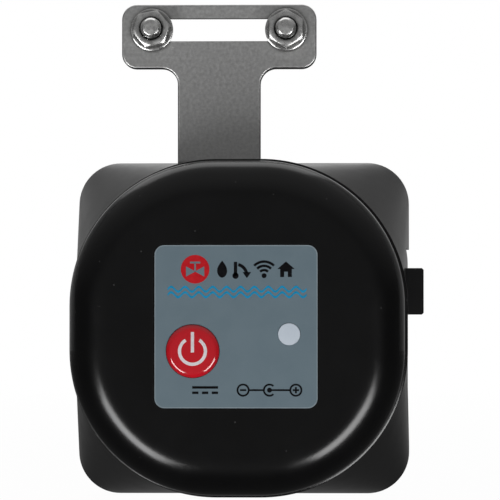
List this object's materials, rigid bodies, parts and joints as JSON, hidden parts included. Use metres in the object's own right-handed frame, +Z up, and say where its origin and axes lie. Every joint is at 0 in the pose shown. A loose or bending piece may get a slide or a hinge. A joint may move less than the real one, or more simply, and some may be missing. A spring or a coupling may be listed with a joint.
{
  "type": "smart valve controller",
  "caption": "Motor unit that clips onto a quarter turn water valve: rounded black body, push button, lamp, power socket, slotted steel bracket and a lever fork.",
  "frame": {"origin": "on the output shaft's axis, in the plane of the housing's rear face", "axes": "+X right and +Z up as seen from the front, +Y backwards along the output shaft to the pipe"},
  "size_m": [0.0828, 0.0872, 0.1178],
  "materials": {
    "black_plastic": "fine satin texture",
    "label_face": "printed film, satin",
    "button_red": "glossy dome",
    "window_white": "milky diffuser",
    "socket_plastic": "moulded",
    "bracket_steel": "brushed stainless",
    "plated_steel": "zinc plated, bright",
    "shaft_steel": "turned",
    "plate_steel": "zinc plated sheet",
    "bush_brass": "turned",
    "gear_plastic": "acetal",
    "board_green": "solder mask",
    "part_black": "moulded",
    "relay_blue": "moulded",
    "part_white": "moulded",
    "wire_red": "insulated wire",
    "wire_white": "insulated wire"
  },
  "bodies": {
    "housing": {"front_cover": "black_plastic", "face_label": "label_face", "light_window": "window_white", "base_housing": "black_plastic", "cover_screws": "plated_steel", "main_board": "board_green", "board_screws": "plated_steel", "tact_switch": "part_black", "status_lamp": "part_white", "radio_module": "board_green", "radio_shield": "plate_steel", "motor_relays": "relay_blue", "bulk_capacitor": "part_black", "power_connector": "part_white", "switch_connector": "part_white", "power_socket": "socket_plastic", "socket_pin": "bush_brass", "power_leads": "wire_red", "switch_leads": "wire_white", "gear_plate": "plate_steel", "plate_screws": "plated_steel", "floor_bush": "bush_brass", "plate_bush": "bush_brass", "gear_axles": "shaft_steel", "axle_clip": "shaft_steel", "motor_gearhead": "plate_steel", "motor_can": "plate_steel", "motor_terminals": "bush_brass", "motor_screws": "plated_steel", "limit_switches": "part_black", "switch_terminals": "bush_brass", "switch_screws": "plated_steel", "bracket_plate": "bracket_steel", "bracket_screws": "plated_steel"},
    "button": {"power_button": "button_red", "tact_plunger": "part_black"},
    "output": {"output_gear": "gear_plastic", "output_shaft": "shaft_steel", "position_cam": "gear_plastic", "lever_fork": "bracket_steel", "fork_washer": "plated_steel", "fork_screw": "plated_steel"},
    "gear_two": {"gear_two": "gear_plastic"},
    "gear_one": {"gear_one": "gear_plastic"},
    "pinion": {"motor_pinion": "bush_brass", "motor_shaft": "shaft_steel"},
    "lever_upper": {"limit_lever_upper": "shaft_steel"},
    "lever_lower": {"limit_lever_lower": "shaft_steel"},
    "clamp_left_upper": {"clamp_screw_left_upper": "plated_steel"},
    "clamp_left_lower": {"clamp_screw_left_lower": "plated_steel"},
    "clamp_right_upper": {"clamp_screw_right_upper": "plated_steel"},
    "clamp_right_lower": {"clamp_screw_right_lower": "plated_steel"},
    "strap_left": {"strap_bolt_left": "plated_steel", "strap_washer_left": "plated_steel", "strap_nut_left": "plated_steel"},
    "strap_right": {"strap_bolt_right": "plated_steel", "strap_washer_right": "plated_steel", "strap_nut_right": "plated_steel"}
  },
  "joints": [
    {"name": "button_press", "type": "slide", "parent": "housing", "child": "button", "axis": [0, 1, 0], "range_m": [0, 0.0005], "stiffness_N_per_m": 1000, "springref_m": -0.001},
    {"name": "output_turn", "type": "hinge", "parent": "housing", "child": "output", "pos_m": [0, 0, 0], "axis": [0, 1, 0], "range_deg": [0, 90]},
    {"name": "gear_two_turn", "type": "hinge", "parent": "housing", "child": "gear_two", "pos_m": [0.02105, 0, -0.00766], "axis": [0, 1, 0], "range_deg": [-330.5, 0.5]},
    {"name": "gear_one_turn", "type": "hinge", "parent": "housing", "child": "gear_one", "pos_m": [0.01979, 0, 0.00668], "axis": [0, 1, 0], "range_deg": [-0.5, 990.5]},
    {"name": "pinion_turn", "type": "hinge", "parent": "housing", "child": "pinion", "pos_m": [0.0083, 0, 0.01633], "axis": [0, 1, 0], "range_deg": [-3960.5, 0.5]},
    {"name": "lever_upper_press", "type": "hinge", "parent": "housing", "child": "lever_upper", "pos_m": [-0.00279, 0, 0.01071], "axis": [0, 1, 0], "range_deg": [0, 6], "stiffness_Nm_per_rad": 0.02, "springref_deg": -5.73},
    {"name": "lever_lower_press", "type": "hinge", "parent": "housing", "child": "lever_lower", "pos_m": [-0.01071, 0, -0.00279], "axis": [0, 1, 0], "range_deg": [0, 6], "stiffness_Nm_per_rad": 0.02, "springref_deg": -5.73},
    {"name": "clamp_left_upper_slide", "type": "slide", "parent": "output", "child": "clamp_left_upper", "axis": [1, 0, 0], "range_m": [0, 0.009]},
    {"name": "clamp_left_lower_slide", "type": "slide", "parent": "output", "child": "clamp_left_lower", "axis": [1, 0, 0], "range_m": [0, 0.009]},
    {"name": "clamp_right_upper_slide", "type": "slide", "parent": "output", "child": "clamp_right_upper", "axis": [-1, 0, 0], "range_m": [0, 0.009]},
    {"name": "clamp_right_lower_slide", "type": "slide", "parent": "output", "child": "clamp_right_lower", "axis": [-1, 0, 0], "range_m": [0, 0.009]},
    {"name": "strap_left_slide", "type": "slide", "parent": "housing", "child": "strap_left", "axis": [1, 0, 0], "range_m": [0, 0.011]},
    {"name": "strap_right_slide", "type": "slide", "parent": "housing", "child": "strap_right", "axis": [-1, 0, 0], "range_m": [0, 0.011]}
  ],
  "couplings": [
    {"joint": "gear_two_turn", "follows": "output_turn", "ratio": -3.6667},
    {"joint": "gear_one_turn", "follows": "output_turn", "ratio": 11},
    {"joint": "pinion_turn", "follows": "output_turn", "ratio": -44}
  ]
}
